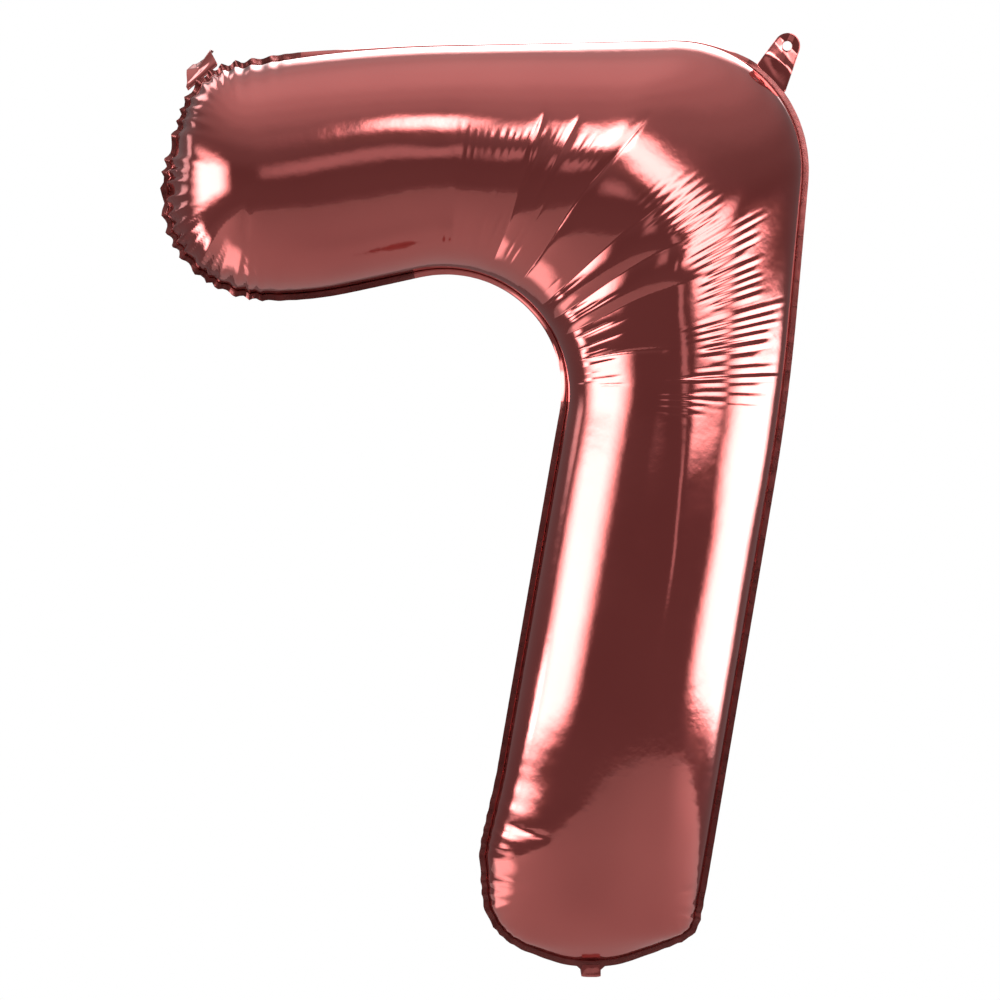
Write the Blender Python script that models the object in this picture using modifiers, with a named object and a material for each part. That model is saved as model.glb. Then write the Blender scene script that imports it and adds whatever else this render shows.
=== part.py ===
"""A foil number balloon, the figure 7: two film panels welded round their edge and blown up.

Metres, +Z up. The front panel faces -Y and +X is to the right seen from the front. The seam lies in
the plane Y = 0. The origin is on the seam's plane, between the eyelets of the two hanging tabs.

The film is far thinner on the real thing (about 0.05 mm). Here each film is FILM thick and the layers
of the seam are stacked LAYER apart, so that every film is a closed solid clear of its neighbours.
"""

import bmesh
import bpy
import numpy as np
from math import atan2, cos, hypot, pi, radians, sin, tan

# Films and seam
FILM = 0.0003
LAYER = 0.0006
FOIL_LEVEL = 1.5 * LAYER
VALVE_LEVEL = 0.5 * LAYER
SEAM_WIDTH = 0.0065

# Outer edge of the seam: corner x, corner z, fillet radius, clockwise from the arm's upper left
OUTLINE = (
    (-0.2798, -0.0141, 0.060),
    (-0.1146, 0.0081, 1.200),
    (0.3048, 0.0174, 0.125),
    (0.2742, -0.3241, 2.000),
    (0.1900, -0.8224, 0.022),
    (0.0905, -0.8577, 0.110),
    (-0.0088, -0.8224, 0.058),
    (-0.0144, -0.7417, 0.050),
    (0.0023, -0.6721, 0.060),
    (0.0883, -0.1774, 0.1086),
    (-0.1610, -0.2304, 0.350),
    (-0.3085, -0.2378, 0.098),
    (-0.3113, -0.1181, 0.120),
)
TOP_LEFT, TOP_RIGHT, BOTTOM, NOTCH = 0, 2, 5, 9
LEG_BOTTOM_BELOW = -0.827

# Inflated depth: the tube's half depth follows its width and levels off at MOST_DEPTH
MOST_DEPTH = 0.125
DEPTH_GAIN = 1.81
ARM_END_ROUNDING = 0.090
LEG_END_ROUNDING = 0.085

# Resolution of the outlines and of the lofted panels
SEAM_STEP = 0.001
FILLET_STEP = 0.002
SMALL_FILLET_STEP = 0.001
SEAL_STEP = 0.008
ROUND_POINTS = 24
ARM_RUNGS = 14
BEND_RUNGS = 14
LEG_RUNGS = 24
END_CROWDING = 1.35
AROUND_TUBE = 12

# Inflation neck at the bottom of the leg, and the tail that folds back under it
NECK_WIDTH = 0.023
NECK_DROP = 0.0062
TAIL_HINGE_DROP = 0.0015
TAIL_START = 0.0004
TAIL_WIDTH = 0.018
TAIL_LENGTH = 0.050
TAIL_CORNER = 0.004
TAIL_FOLD = radians(90)
TAIL_SEAL = 0.0025
FILL_HOLE_RADIUS = 0.004
FILL_HOLE_DOWN = 0.040

# Self-sealing valve: two clear films welded down their sides, from the tail up into the leg
VALVE_NECK_WIDTH = 0.012
VALVE_WIDTH = 0.030
VALVE_FLARE = 0.014
VALVE_LENGTH = 0.140
VALVE_TAIL_LENGTH = 0.030
VALVE_CORNER = 0.006
VALVE_BEND = 0.003
CUT_CORNER = 0.0004

# Hanging tabs: a round lobe with an eyelet on a root as wide as TAB_ROOT
TAB_ROOT = 0.038
TAB_LOBE = 0.0121
TAB_REACH = 0.0290
TAB_SHIFT = 0.0126
TAB_THICKNESS = 2 * FILM
TAB_GAP = 0.0010
EYELET_RADIUS = 0.0045
LEFT_TAB_LEAN = radians(65)

ROSE_FOIL = (0.52, 0.22, 0.21, 1.0)
SEAM_FOIL = (0.34, 0.12, 0.12, 1.0)
CLEAR_FILM = (0.80, 0.78, 0.76, 1.0)


def clear_scene():
    for thing in list(bpy.data.objects):
        bpy.data.objects.remove(thing, do_unlink=True)


def collection_named(name):
    group = bpy.data.collections.new(name)
    bpy.context.scene.collection.children.link(group)
    return group


def material(name, colour, roughness, metallic):
    made = bpy.data.materials.new(name)
    made.diffuse_color = colour
    made.use_nodes = True
    shader = made.node_tree.nodes["Principled BSDF"]
    shader.inputs["Base Color"].default_value = colour
    shader.inputs["Roughness"].default_value = roughness
    shader.inputs["Metallic"].default_value = metallic
    return made


# Outlines -------------------------------------------------------------------------------------


def fillet(before, corner, after, radius, step):
    """Points of the arc that rounds one corner of a polygon, and the arc's middle and centre."""
    corner = np.array(corner)
    back = np.array(before) - corner
    ahead = np.array(after) - corner
    back /= np.linalg.norm(back)
    ahead /= np.linalg.norm(ahead)
    half = np.arccos(np.clip(back @ ahead, -1.0, 1.0)) / 2
    bisector = (back + ahead) / np.linalg.norm(back + ahead)
    centre = corner + bisector * radius / sin(half)
    start = corner + back * radius / tan(half) - centre
    end = corner + ahead * radius / tan(half) - centre
    first = atan2(start[1], start[0])
    turn = (atan2(end[1], end[0]) - first + pi) % (2 * pi) - pi
    count = max(3, round(abs(turn) * radius / step))
    angles = [first + turn * k / count for k in range(count + 1)]
    arc = [centre + radius * np.array((cos(a), sin(a))) for a in angles]
    return arc, centre - bisector * radius, centre


def rounded_outline(corners, step=FILLET_STEP):
    """A closed outline from corners with fillet radii."""
    points = []
    for i, (x, z, radius) in enumerate(corners):
        before = corners[i - 1][:2]
        after = corners[(i + 1) % len(corners)][:2]
        points += fillet(before, (x, z), after, radius, step)[0]
    return np.array(points)


def corner_arc(index):
    """Points, middle and centre of the arc at one corner of OUTLINE."""
    x, z, radius = OUTLINE[index]
    before = OUTLINE[index - 1][:2]
    after = OUTLINE[(index + 1) % len(OUTLINE)][:2]
    return fillet(before, (x, z), after, radius, FILLET_STEP)


def resampled(points, step):
    """The closed outline again, with its points an even distance apart."""
    loop = np.vstack([points, points[:1]])
    run = np.r_[0.0, np.cumsum(np.linalg.norm(np.diff(loop, axis=0), axis=1))]
    places = np.linspace(0.0, run[-1], round(run[-1] / step), endpoint=False)
    return np.c_[np.interp(places, run, loop[:, 0]), np.interp(places, run, loop[:, 1])]


def outward(points):
    """Unit normals of a clockwise loop, pointing out of it."""
    along = np.roll(points, -1, axis=0) - np.roll(points, 1, axis=0)
    along /= np.linalg.norm(along, axis=1)[:, None]
    return np.c_[-along[:, 1], along[:, 0]]


def nearest(points, place):
    return int(np.argmin(np.linalg.norm(points - np.array(place), axis=1)))


def stretch(points, first, last):
    """The points of a closed loop from one index on to another, past the end if need be."""
    count = (last - first) % len(points)
    return points[(first + np.arange(count + 1)) % len(points)]


def spread(points, count, ease=False):
    """count + 1 points along an open run, evenly spaced, or closer together at its start."""
    run = np.r_[0.0, np.cumsum(np.linalg.norm(np.diff(points, axis=0), axis=1))]
    share = np.linspace(0.0, 1.0, count + 1)
    places = run[-1] * (share**END_CROWDING if ease else share)
    return np.c_[np.interp(places, run, points[:, 0]), np.interp(places, run, points[:, 1])]


def across_from(points, hub, place):
    """Index of the loop's furthest point on the ray from hub through place."""
    aim = (place - hub) / np.linalg.norm(place - hub)
    away = points - hub
    ahead = away @ aim
    aside = np.abs(away[:, 0] * aim[1] - away[:, 1] * aim[0])
    return int(np.argmax(np.where((ahead > 0) & (aside < 1.5 * SEAM_STEP), ahead, -1.0)))


# The inflated 7 -------------------------------------------------------------------------------


def seam_line():
    """The seam's inner edge, where the two films part: a clockwise loop of points SEAM_STEP apart."""
    edge = resampled(rounded_outline(OUTLINE), SEAM_STEP)
    return edge - outward(edge) * SEAM_WIDTH


def rungs(seam):
    """Pairs of seam points across the tube, from the arm's end round the bend to the leg's end."""
    arm_end = int(np.argmin(seam[:, 0]))
    leg_end = int(np.argmin(seam[:, 1]))
    arc, _, hub = corner_arc(NOTCH)
    at_leg, at_arm = arc[0], arc[-1]
    leg_in, arm_in = nearest(seam, at_leg), nearest(seam, at_arm)
    leg_out, arm_out = across_from(seam, hub, at_leg), across_from(seam, hub, at_arm)
    upper = [
        spread(stretch(seam, arm_end, arm_out), ARM_RUNGS, True),
        spread(stretch(seam, arm_out, leg_out), BEND_RUNGS),
        spread(stretch(seam, leg_out, leg_end)[::-1], LEG_RUNGS, True)[::-1],
    ]
    lower = [
        spread(stretch(seam, arm_in, arm_end)[::-1], ARM_RUNGS, True),
        spread(stretch(seam, leg_in, arm_in)[::-1], BEND_RUNGS),
        spread(stretch(seam, leg_end, leg_in), LEG_RUNGS, True)[::-1],
    ]
    outer = np.vstack([upper[0], upper[1][1:], upper[2][1:]])
    inner = np.vstack([lower[0], lower[1][1:], lower[2][1:]])
    return outer, inner


def half_depths(outer, inner):
    """Half depth of the tube at each rung: round in section, and rounded over at both ends."""
    width = np.linalg.norm(outer - inner, axis=1)
    middle = (outer + inner) / 2
    from_arm_end = np.linalg.norm(middle - middle[0], axis=1)
    from_leg_end = np.linalg.norm(middle - middle[-1], axis=1)
    depth = MOST_DEPTH * (1 - np.exp(-DEPTH_GAIN * width / 2 / MOST_DEPTH))
    for distance, rounding in ((from_arm_end, ARM_END_ROUNDING), (from_leg_end, LEG_END_ROUNDING)):
        short = 1 - np.minimum(distance / rounding, 1.0)
        depth = depth * np.sqrt(1 - short**2)
    return depth


def seam_reach(ring):
    """Width of the seam at each point of the ring: wider where it runs down into the neck."""
    aside = np.abs(ring[:, 0] - OUTLINE[BOTTOM][0]) / (NECK_WIDTH / 2)
    swell = np.sqrt(np.clip(1 - aside**2, 0.0, 1.0))
    return SEAM_WIDTH + np.where(ring[:, 1] < LEG_BOTTOM_BELOW, NECK_DROP * swell, 0.0)


def panel_mesh(name, side):
    """One film panel: the lofted half tube and the flat seam round it. side is -1 in front."""
    outer, inner = rungs(seam_line())
    depth = half_depths(outer, inner)
    mesh = bmesh.new()
    rows = []
    for k in range(len(outer)):
        pole = k in (0, len(outer) - 1)
        row = []
        for j in range(1 if pole else AROUND_TUBE + 1):
            across = pi * j / AROUND_TUBE
            x, z = (outer[k] + inner[k]) / 2 + (outer[k] - inner[k]) / 2 * cos(across)
            y = side * (FOIL_LEVEL + depth[k] * sin(across))
            row.append(mesh.verts.new((x, y, z)))
        rows.append(row)
    for here, there in zip(rows, rows[1:]):
        for j in range(AROUND_TUBE):
            a, b = here[min(j, len(here) - 1)], here[min(j + 1, len(here) - 1)]
            c, d = there[min(j + 1, len(there) - 1)], there[min(j, len(there) - 1)]
            corners = list(dict.fromkeys((a, b, c, d)))
            mesh.faces.new(corners)
    ring = [row[0] for row in rows] + [row[-1] for row in rows[-2:0:-1]]
    flat = np.array([(v.co.x, v.co.z) for v in ring])
    edge = flat + outward(flat) * seam_reach(flat)[:, None]
    rim = [mesh.verts.new((x, side * FOIL_LEVEL, z)) for x, z in edge]
    for i in range(len(ring)):
        n = (i + 1) % len(ring)
        mesh.faces.new((ring[i], ring[n], rim[n], rim[i]))
    bmesh.ops.recalc_face_normals(mesh, faces=mesh.faces[:])
    shape = bpy.data.meshes.new(name)
    mesh.to_mesh(shape)
    mesh.free()
    shape.shade_smooth()
    return shape


def foil_panel(name, side, foil, group):
    panel = bpy.data.objects.new(name, panel_mesh(name, side))
    group.objects.link(panel)
    panel.data.materials.append(foil)
    film = panel.modifiers.new("film", "SOLIDIFY")
    film.thickness = FILM
    film.offset = 0.0
    film.use_even_offset = True


# Flat films -----------------------------------------------------------------------------------


def flat_film(name, outlines, thickness, look, group, parent=None, level=0.0):
    """A flat film standing in the XZ plane. Its outlines are (x, z) loops, the outer one first."""
    curve = bpy.data.curves.new(name, "CURVE")
    curve.dimensions = "2D"
    curve.fill_mode = "BOTH"
    curve.extrude = thickness / 2
    for loop in outlines:
        spline = curve.splines.new("POLY")
        spline.points.add(len(loop) - 1)
        for point, (x, z) in zip(spline.points, loop):
            point.co = (x, z, 0.0, 1.0)
        spline.use_cyclic_u = True
    curve.materials.append(look)
    film = bpy.data.objects.new(name, curve)
    group.objects.link(film)
    film.parent = parent
    film.location = (0.0, level, 0.0)
    film.rotation_euler = (pi / 2, 0.0, 0.0)


def circle(x, z, radius):
    angles = [2 * pi * k / ROUND_POINTS for k in range(ROUND_POINTS)]
    return [(x + radius * cos(a), z + radius * sin(a)) for a in angles]


def hinge_empty(name, place, group, rotation=(0.0, 0.0, 0.0)):
    empty = bpy.data.objects.new(name, None)
    empty.empty_display_size = 0.02
    empty.location = place
    empty.rotation_mode = "XYZ"
    empty.rotation_euler = rotation
    group.objects.link(empty)
    return empty


def neck_bottom():
    """Height of the lowest edge of the seam, at the inflation neck."""
    seam = seam_line()
    return seam[:, 1].min() - SEAM_WIDTH - NECK_DROP


def perimeter_seal(look, group):
    """The welded band between the two panels' edges, open at the neck where the valve passes."""
    seam = resampled(seam_line(), SEAL_STEP)
    seam = np.roll(seam, -int(np.argmin(seam[:, 1])), axis=0)
    aside = np.abs(seam[:, 0] - OUTLINE[BOTTOM][0])
    kept = (aside > NECK_WIDTH / 2) | (seam[:, 1] > LEG_BOTTOM_BELOW)
    edge = seam + outward(seam) * SEAM_WIDTH
    band = np.vstack([edge[kept], seam[kept][::-1]])
    flat_film("perimeter_heat_seal", [band], 3 * FILM, look, group)


def valve_film(name, level, look, group):
    """One inner film of the valve, from the neck up into the leg."""
    x = OUTLINE[BOTTOM][0]
    low = neck_bottom()
    narrow = low + NECK_DROP + SEAM_WIDTH + 0.002
    wide = narrow + VALVE_FLARE
    top = narrow + VALVE_LENGTH
    right_side = (
        (VALVE_NECK_WIDTH / 2, low, CUT_CORNER),
        (VALVE_NECK_WIDTH / 2, narrow, VALVE_BEND),
        (VALVE_WIDTH / 2, wide, VALVE_BEND),
        (VALVE_WIDTH / 2, top, VALVE_CORNER),
    )
    corners = [(x + a, z, radius) for a, z, radius in right_side]
    corners += [(x - a, z, radius) for a, z, radius in reversed(right_side)]
    flat_film(name, [rounded_outline(corners)], FILM, look, group, level=level)


def strip(width, length):
    """Outline of a strip that hangs from the fold line, with its lower corners rounded."""
    half = width / 2
    corners = (
        (-half, -TAIL_START, CUT_CORNER),
        (half, -TAIL_START, CUT_CORNER),
        (half, -length, TAIL_CORNER),
        (-half, -length, TAIL_CORNER),
    )
    return rounded_outline(corners, SMALL_FILLET_STEP)


def u_strip(width, length, inside, floor):
    """Outline of a U: a band down both sides of a strip and across its end."""
    half = width / 2
    corners = (
        (-half, -TAIL_START, CUT_CORNER),
        (-half, -length, TAIL_CORNER),
        (half, -length, TAIL_CORNER),
        (half, -TAIL_START, CUT_CORNER),
        (inside, -TAIL_START, CUT_CORNER),
        (inside, -floor, CUT_CORNER),
        (-inside, -floor, CUT_CORNER),
        (-inside, -TAIL_START, CUT_CORNER),
    )
    return rounded_outline(corners, SMALL_FILLET_STEP)


def inflation_tail(foil, seal, clear, group):
    """The tail below the neck: two foil layers, their welded edge and the valve films between them."""
    hinge = (OUTLINE[BOTTOM][0], 0.0, neck_bottom() - TAIL_HINGE_DROP)
    fold = hinge_empty("tail_fold_line", hinge, group, (TAIL_FOLD, 0.0, 0.0))
    outline = strip(TAIL_WIDTH, TAIL_LENGTH)
    fill_hole = circle(0.0, -FILL_HOLE_DOWN, FILL_HOLE_RADIUS)
    flat_film("tail_front_layer", [outline, fill_hole], FILM, foil, group, fold, -FOIL_LEVEL)
    flat_film("tail_rear_layer", [outline], FILM, foil, group, fold, FOIL_LEVEL)
    weld = u_strip(TAIL_WIDTH, TAIL_LENGTH, TAIL_WIDTH / 2 - TAIL_SEAL, TAIL_LENGTH - TAIL_SEAL)
    flat_film("tail_edge_seal", [weld], 3 * FILM, seal, group, fold)
    sleeve = strip(VALVE_NECK_WIDTH, VALVE_TAIL_LENGTH)
    flat_film("neck_valve_film_front", [sleeve], FILM, clear, group, fold, -VALVE_LEVEL)
    flat_film("neck_valve_film_rear", [sleeve], FILM, clear, group, fold, VALVE_LEVEL)


def tab_outline():
    """A hanging tab on its root line: straight root, sides that run in to a lobe, and the eyelet."""
    half = TAB_ROOT / 2
    lobe = np.array((TAB_SHIFT, TAB_REACH))
    touches = []
    for root_x, turn in ((half, 1), (-half, -1)):
        away = np.array((root_x, 0.0)) - lobe
        touches.append(atan2(away[1], away[0]) + turn * np.arccos(TAB_LOBE / hypot(*away)))
    right, left = touches
    sweep = (left - right) % (2 * pi)
    angles = [right + sweep * k / ROUND_POINTS for k in range(ROUND_POINTS + 1)]
    arc = [(lobe[0] + TAB_LOBE * cos(a), lobe[1] + TAB_LOBE * sin(a)) for a in angles]
    return np.array([(-half, 0.0), (half, 0.0), *arc]), np.array(circle(*lobe, EYELET_RADIUS))


def hanging_tab(name, corner, side, lean, foil, group):
    """A tab on the seam at one upper corner. It folds about its root line; lean tips it back."""
    _, middle, centre = corner_arc(corner)
    out = (middle - centre) / np.linalg.norm(middle - centre)
    root = middle + out * TAB_GAP
    tilt = atan2(out[0], out[1])
    fold = hinge_empty(name + "_fold_line", (root[0], 0.0, root[1]), group, (-lean, tilt, 0.0))
    outlines = [loop * (side, 1.0) for loop in tab_outline()]
    flat_film(name, outlines, TAB_THICKNESS, foil, group, fold)


def main():
    clear_scene()
    group = collection_named("foil_number_balloon_7")
    foil = material("rose_foil", ROSE_FOIL, 0.16, 1.0)
    seal = material("welded_seam", SEAM_FOIL, 0.35, 0.8)
    clear = material("clear_valve_film", CLEAR_FILM, 0.3, 0.0)
    foil_panel("front_foil_panel", -1, foil, group)
    foil_panel("rear_foil_panel", 1, foil, group)
    perimeter_seal(seal, group)
    valve_film("valve_film_front", -VALVE_LEVEL, clear, group)
    valve_film("valve_film_rear", VALVE_LEVEL, clear, group)
    inflation_tail(foil, seal, clear, group)
    hanging_tab("hanging_tab_left", TOP_LEFT, 1, LEFT_TAB_LEAN, foil, group)
    hanging_tab("hanging_tab_right", TOP_RIGHT, -1, 0.0, foil, group)


main()
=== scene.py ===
"""Looks of the foil number balloon 7: two creased film panels, the welded seam, the tabs and the tail.

Metres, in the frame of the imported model. The front panel faces -Y and +X is to the right.
"""

import bmesh
import bpy
import numpy as np
from math import atan2, cos, pi, radians, sin, tan
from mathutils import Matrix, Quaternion, Vector
from mathutils.kdtree import KDTree


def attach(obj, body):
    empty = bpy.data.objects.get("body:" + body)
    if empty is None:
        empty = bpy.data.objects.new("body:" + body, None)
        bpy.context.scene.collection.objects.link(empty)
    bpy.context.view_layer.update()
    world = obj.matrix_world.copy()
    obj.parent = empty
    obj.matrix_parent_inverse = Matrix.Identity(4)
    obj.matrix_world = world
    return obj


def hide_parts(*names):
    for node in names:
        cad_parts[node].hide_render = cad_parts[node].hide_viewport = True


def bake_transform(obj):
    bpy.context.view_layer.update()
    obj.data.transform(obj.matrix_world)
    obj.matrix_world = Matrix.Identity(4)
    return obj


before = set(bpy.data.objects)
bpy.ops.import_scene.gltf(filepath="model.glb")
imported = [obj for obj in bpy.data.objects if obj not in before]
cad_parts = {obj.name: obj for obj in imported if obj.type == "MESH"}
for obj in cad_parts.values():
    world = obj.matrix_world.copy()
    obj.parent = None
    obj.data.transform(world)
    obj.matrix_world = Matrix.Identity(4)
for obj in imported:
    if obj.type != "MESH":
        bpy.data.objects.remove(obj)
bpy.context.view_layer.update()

# The design's own sizes, as the CAD part states them
FOIL_LEVEL = 0.0009
SEAM_WIDTH = 0.0065
OUTLINE = (
    (-0.2798, -0.0141, 0.060),
    (-0.1146, 0.0081, 1.200),
    (0.3048, 0.0174, 0.125),
    (0.2742, -0.3241, 2.000),
    (0.1900, -0.8224, 0.022),
    (0.0905, -0.8577, 0.110),
    (-0.0088, -0.8224, 0.058),
    (-0.0144, -0.7417, 0.050),
    (0.0023, -0.6721, 0.060),
    (0.0883, -0.1774, 0.1086),
    (-0.1610, -0.2304, 0.350),
    (-0.3085, -0.2378, 0.098),
    (-0.3113, -0.1181, 0.120),
)
BOTTOM, NOTCH = 5, 9
MOST_DEPTH = 0.125
DEPTH_GAIN = 1.81
LEG_BOTTOM_BELOW = -0.827
NECK_WIDTH = 0.023
NECK_DROP = 0.0062
TAB_ROOT = 0.038
TAB_LOBE = 0.0121
TAB_REACH = 0.0290
TAB_SHIFT = 0.0126
EYELET_RADIUS = 0.0045
TAIL_HINGE = (0.0905, 0.0, -0.85867)
TAIL_WIDTH = 0.018
TAIL_LENGTH = 0.050
FILL_HOLE_RADIUS = 0.004
FILL_HOLE_DOWN = 0.040

# How far from each end the tube rounds over, and how fully: this surface's own
ARM_END_ROUNDING = (0.098, 2.3)
LEG_END_ROUNDING = (0.33, 2.3)

# Fineness of the film meshes. Rows are fine about one share of the tube's length, for a reach to
# each side, and draw together near its two ends. The blurs are in seam steps or in rows
SEAM_STEP = 0.001
ROW_FINE = 0.00125
ROW_COARSE = 0.0026
FINE_ABOUT, FINE_REACH = 0.47, 0.22
END_REACH, END_CLOSENESS = 0.03, 0.25
EDGE_BLUR, FACING_BLUR, RING_BLUR = 3.0, 16, 2.0
COLUMNS = 88
FLANGE_COLUMNS = 4

# Studio
FLOOR_LEVEL = -1.15
FLOOR_RADIUS = 1.6
CAMERA_DISTANCE = 3.2
CAMERA_X, CAMERA_HEIGHT = 0.0060, -0.4169
FRAME_WIDTH = 0.928
SENSOR_WIDTH = 36.0


# Outline and rows -----------------------------------------------------------------------------


def corner_fillet(index):
    """Points of the arc that rounds one corner of OUTLINE, and the arc's centre."""
    x, z, radius = OUTLINE[index]
    corner = np.array((x, z))
    back = np.array(OUTLINE[index - 1][:2]) - corner
    ahead = np.array(OUTLINE[(index + 1) % len(OUTLINE)][:2]) - corner
    back /= np.linalg.norm(back)
    ahead /= np.linalg.norm(ahead)
    half = np.arccos(np.clip(back @ ahead, -1.0, 1.0)) / 2
    bisector = (back + ahead) / np.linalg.norm(back + ahead)
    centre = corner + bisector * radius / sin(half)
    start = corner + back * radius / tan(half) - centre
    end = corner + ahead * radius / tan(half) - centre
    first = atan2(start[1], start[0])
    turn = (atan2(end[1], end[0]) - first + pi) % (2 * pi) - pi
    count = max(3, round(abs(turn) * radius / SEAM_STEP))
    angles = first + turn * np.arange(count + 1) / count
    return centre + radius * np.c_[np.cos(angles), np.sin(angles)], centre


def run_along(points):
    """Length along the points, from the first of them to each."""
    return np.r_[0.0, np.cumsum(np.linalg.norm(np.diff(points, axis=0), axis=1))]


def resampled(points, step):
    """The closed outline again, with its points an even distance apart."""
    loop = np.vstack([points, points[:1]])
    run = run_along(loop)
    places = np.linspace(0.0, run[-1], round(run[-1] / step), endpoint=False)
    return np.c_[np.interp(places, run, loop[:, 0]), np.interp(places, run, loop[:, 1])]


def outward(points):
    """Unit normals of a clockwise loop, pointing out of it."""
    along = np.roll(points, -1, axis=0) - np.roll(points, 1, axis=0)
    along /= np.linalg.norm(along, axis=1)[:, None]
    return np.c_[-along[:, 1], along[:, 0]]


def bell(width):
    """The weights of a Gaussian blur of that width, in samples, and how many lie to each side."""
    reach = int(4 * width)
    weights = np.exp(-0.5 * (np.arange(-reach, reach + 1) / width) ** 2)
    return weights / weights.sum(), reach


def smoothed_loop(values, width):
    """A closed run of points after a Gaussian blur."""
    weights, reach = bell(width)
    padded = np.vstack([values[-reach:], values, values[:reach]])
    return np.stack([np.convolve(column, weights, "valid") for column in padded.T], axis=1)


def seam_loop():
    """The seam's inner edge, where the two films part: a clockwise loop of points SEAM_STEP apart."""
    edge = resampled(np.vstack([corner_fillet(i)[0] for i in range(len(OUTLINE))]), SEAM_STEP)
    edge = smoothed_loop(edge, EDGE_BLUR)
    return edge - outward(edge) * SEAM_WIDTH


def on_loop(loop, places):
    """Points of the loop at those (fractional) indices."""
    index = np.arange(len(loop) + 1)
    closed = np.vstack([loop, loop[:1]])
    places = np.mod(places, len(loop))
    return np.c_[np.interp(places, index, closed[:, 0]), np.interp(places, index, closed[:, 1])]


def nearest(points, place):
    """Index of the point nearest to that place."""
    return int(np.argmin(np.linalg.norm(points - np.array(place), axis=1)))


def across_from(points, hub, place):
    """Index of the loop's furthest point on the ray from hub through place."""
    aim = (place - hub) / np.linalg.norm(place - hub)
    away = points - hub
    ahead = away @ aim
    aside = np.abs(away[:, 0] * aim[1] - away[:, 1] * aim[0])
    return int(np.argmax(np.where((ahead > 0) & (aside < 1.5 * SEAM_STEP), ahead, -1.0)))


def blurred(values, width):
    """An open run of values after a Gaussian blur, its ends held."""
    weights, reach = bell(width)
    head = 2 * values[0] - values[reach:0:-1]
    tail = 2 * values[-1] - values[-2 : -reach - 2 : -1]
    return np.convolve(np.r_[head, values, tail], weights, "valid")


def facing_places(seam):
    """Pairs of places on the seam loop that face each other across the tube.

    They run from the arm's end to the leg's end, the outer ones over the top and the right side, the
    inner ones round the notch. Round the bend a pair lies on a ray from the notch's centre.
    """
    size = len(seam)
    arc, hub = corner_fillet(NOTCH)
    arm_end, leg_end = int(np.argmin(seam[:, 0])), int(np.argmin(seam[:, 1]))
    outer = [arm_end, across_from(seam, hub, arc[-1]), across_from(seam, hub, arc[0]), leg_end]
    inner = [arm_end, nearest(seam, arc[-1]), nearest(seam, arc[0]), leg_end]
    outer = np.cumsum([0] + [(b - a) % size for a, b in zip(outer, outer[1:])]) + arm_end
    inner = arm_end - np.cumsum([0] + [(a - b) % size for a, b in zip(inner, inner[1:])])
    stations = np.r_[0, np.cumsum(np.maximum(np.diff(outer), -np.diff(inner)))]
    even = np.arange(stations[-1] + 1)
    outer = blurred(np.interp(even, stations, outer), FACING_BLUR)
    inner = blurred(np.interp(even, stations, inner), FACING_BLUR)
    return outer, inner


def tube_rows(seam):
    """Where each row of the film crosses the tube: its two ends as places on the seam loop.

    Rows run from the arm's end round the bend to the leg's end, fine where the crimps are.
    """
    outer, inner = facing_places(seam)
    even = np.arange(len(outer))
    middle = (on_loop(seam, outer) + on_loop(seam, inner)) / 2
    run = run_along(middle)
    fine = np.exp(-(((run / run[-1] - FINE_ABOUT) / FINE_REACH) ** 6))
    near_end = np.minimum(run, run[-1] - run) / END_REACH
    step = (ROW_COARSE + (ROW_FINE - ROW_COARSE) * fine) * np.clip(near_end, END_CLOSENESS, 1.0)
    density = np.r_[0.0, np.cumsum(np.maximum(np.diff(run), 1e-6) / step[1:])]
    rows = np.interp(np.linspace(0, density[-1], round(density[-1]) + 1), density, even)
    return np.interp(rows, even, outer), np.interp(rows, even, inner)


def half_depths(outer, inner):
    """Half depth of the tube at each row: round in section, and rounded over at both ends."""
    width = np.linalg.norm(outer - inner, axis=1)
    middle = (outer + inner) / 2
    depth = MOST_DEPTH * (1 - np.exp(-DEPTH_GAIN * width / 2 / MOST_DEPTH))
    for pole, (reach, power) in ((0, ARM_END_ROUNDING), (-1, LEG_END_ROUNDING)):
        distance = np.linalg.norm(middle - middle[pole], axis=1)
        short = 1 - np.minimum(distance / reach, 1.0)
        depth = depth * np.sqrt(1 - short**power)
    return depth


# The inflated film ----------------------------------------------------------------------------

# Seeds of the random draws. A film or a tail layer adds its side, -1 or 1
RIM_SEED, FILM_SEED, TAIL_SEED = 11, 20, 40

# Round the bend the tube's crown is a ridge, and lies a little towards the inner side
CROWN_SKEW = -0.10
CROWN_RIDGE = 0.45
SKEW_FROM, SKEW_TO = 0.34, 0.60
RIDGE_FROM, RIDGE_TO = 0.36, 0.60

# Crimps: bands of short folds across the tube. Each band runs from one share of the tube's length
# to another; across is 1 at the outer seam and -1 at the inner one
CRIMP_BANDS = (
    # from, to, across from, across to, fold length, depth
    (0.232, 0.292, 0.04, 0.04, 0.022, 0.00055),
    (0.300, 0.345, 0.03, -0.02, 0.030, 0.00022),
    (0.392, 0.440, 0.00, 0.17, 0.042, 0.00075),
    (0.448, 0.497, 0.30, 0.44, 0.054, 0.00085),
    (0.502, 0.556, 0.44, 0.50, 0.070, 0.00085),
    (0.553, 0.570, 0.02, 0.04, 0.036, 0.00050),
)
CRIMP_PITCH = 0.0068
CRIMP_WAVER, CRIMP_WAVER_PITCH = 0.9, 0.05
FOLD_LENGTH_SPREAD = 0.22
FOLD_DEPTH_SPREAD = 0.3
FOLD_SHIFT_SPREAD = 0.002

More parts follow.
